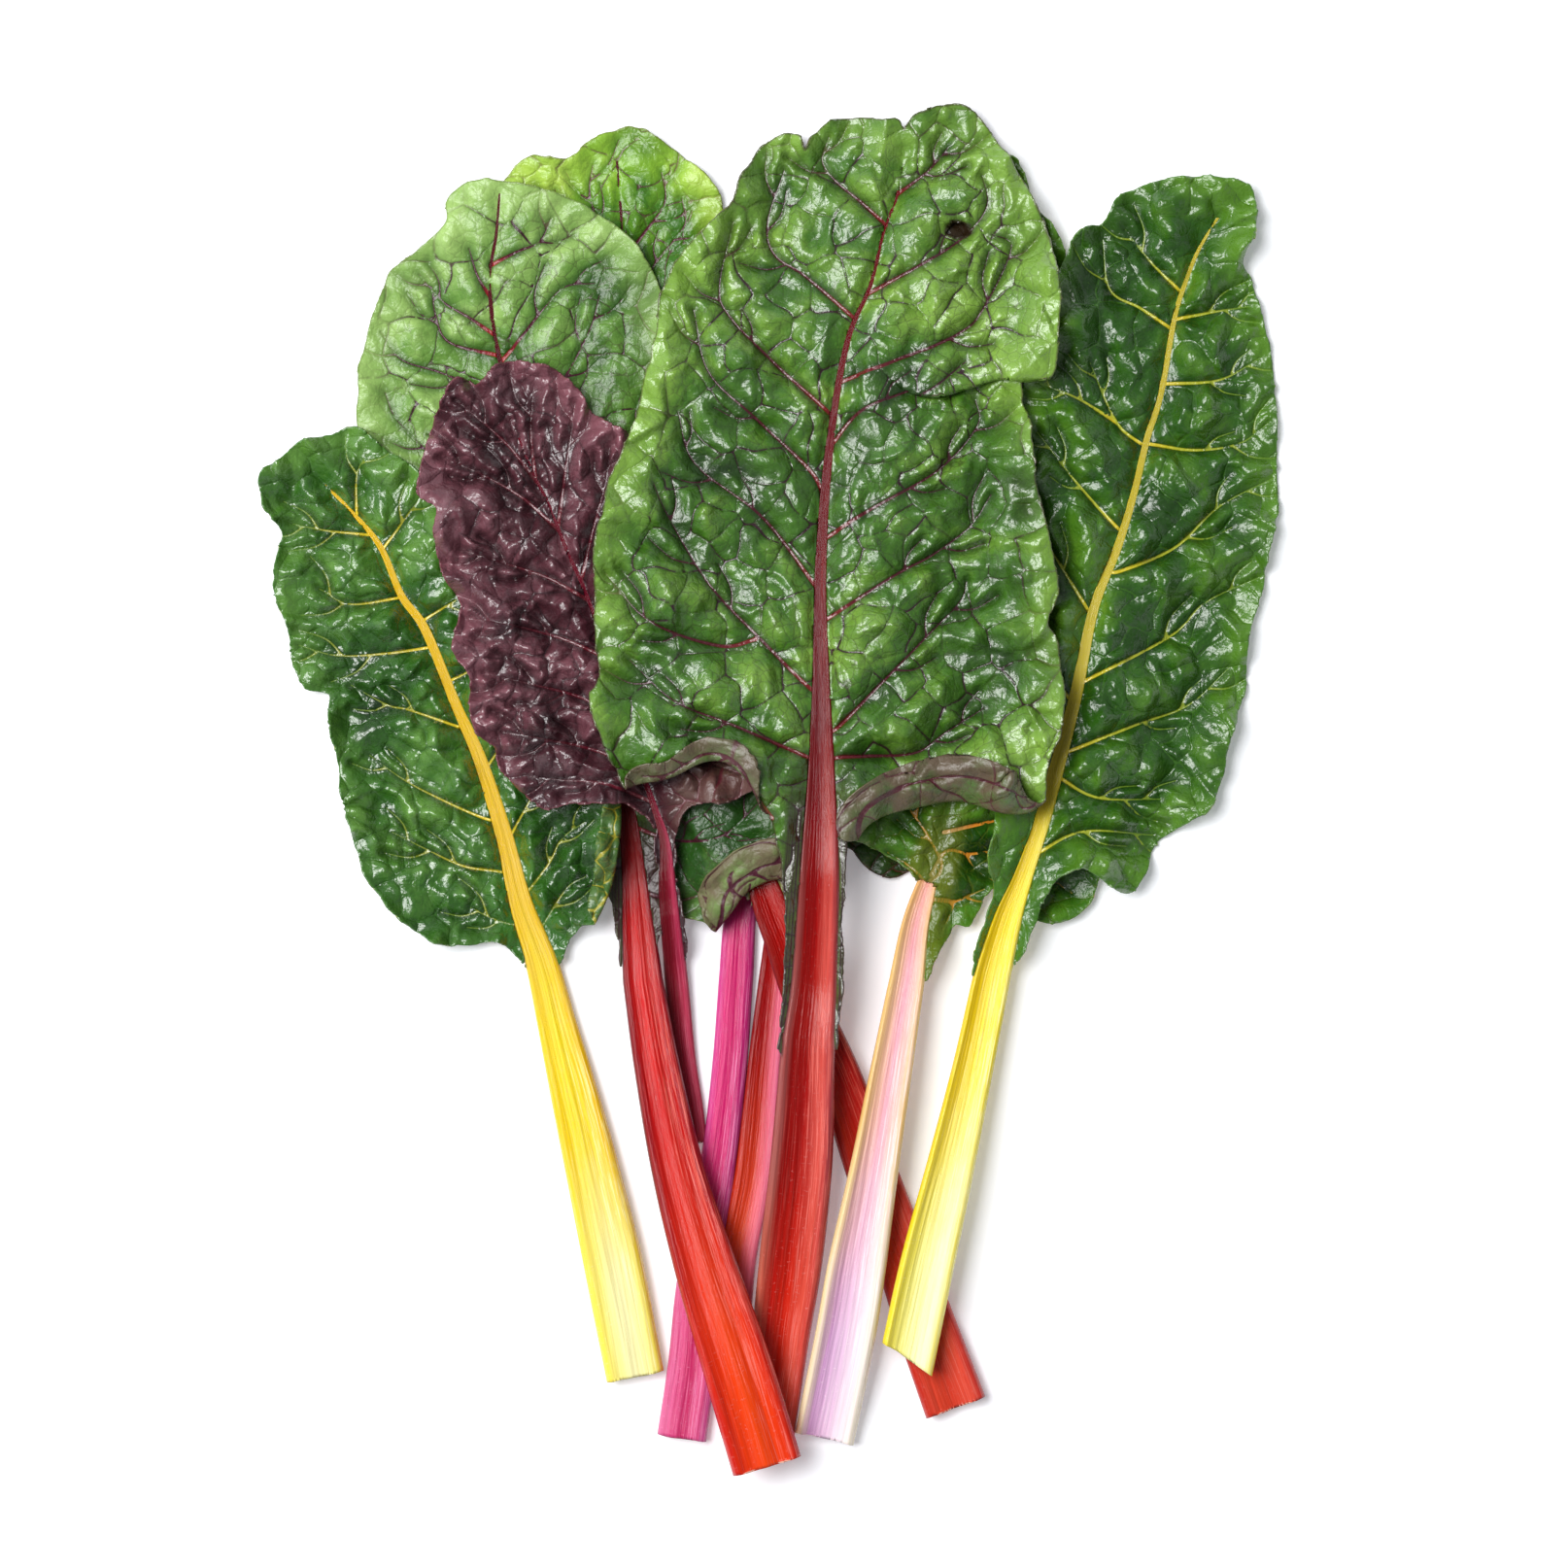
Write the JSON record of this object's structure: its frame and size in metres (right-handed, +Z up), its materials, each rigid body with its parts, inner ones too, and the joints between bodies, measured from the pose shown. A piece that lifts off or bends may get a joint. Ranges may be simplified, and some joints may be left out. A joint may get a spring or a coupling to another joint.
{
  "type": "swiss chard bunch",
  "caption": "Bunch of rainbow Swiss chard lying flat: broad crinkled leaves with thick channelled stalks in red, pink, white and yellow, fanned out and cut square at the base.",
  "frame": {"origin": "middle of the bunch's footprint, on the surface it lies on", "axes": "+Y from the cut ends of the stalks towards the leaf tips, +Z up out of the leaves' upper faces"},
  "size_m": [0.297, 0.3976, 0.022],
  "materials": {
    "magenta_stalk": "moist glossy stalk with fine ribs along it",
    "magenta_blade": "glossy crinkled leaf",
    "inner_red_stalk": "moist glossy stalk with fine ribs along it",
    "inner_red_blade": "glossy crinkled leaf",
    "crossing_red_stalk": "moist glossy stalk with fine ribs along it",
    "crossing_red_blade": "glossy crinkled leaf",
    "pink_white_stalk": "moist glossy stalk with fine ribs along it",
    "pink_white_blade": "glossy crinkled leaf",
    "yellow_right_stalk": "moist glossy stalk with fine ribs along it",
    "yellow_right_blade": "glossy crinkled leaf",
    "red_left_stalk": "moist glossy stalk with fine ribs along it",
    "red_left_blade": "glossy crinkled leaf",
    "yellow_left_stalk": "moist glossy stalk with fine ribs along it",
    "yellow_left_blade": "glossy crinkled leaf",
    "purple_stalk": "moist glossy stalk with fine ribs along it",
    "purple_blade": "glossy crinkled leaf",
    "centre_red_stalk": "moist glossy stalk with fine ribs along it",
    "centre_red_blade": "glossy crinkled leaf"
  },
  "bodies": {
    "root": {"magenta_stalk": "magenta_stalk", "magenta_blade": "magenta_blade", "inner_red_stalk": "inner_red_stalk", "inner_red_blade": "inner_red_blade", "crossing_red_stalk": "crossing_red_stalk", "crossing_red_blade": "crossing_red_blade", "pink_white_stalk": "pink_white_stalk", "pink_white_blade": "pink_white_blade", "yellow_right_stalk": "yellow_right_stalk", "yellow_right_blade": "yellow_right_blade", "red_left_stalk": "red_left_stalk", "red_left_blade": "red_left_blade", "yellow_left_stalk": "yellow_left_stalk", "yellow_left_blade": "yellow_left_blade", "purple_stalk": "purple_stalk", "purple_blade": "purple_blade", "centre_red_stalk": "centre_red_stalk", "centre_red_blade": "centre_red_blade"}
  },
  "joints": []
}
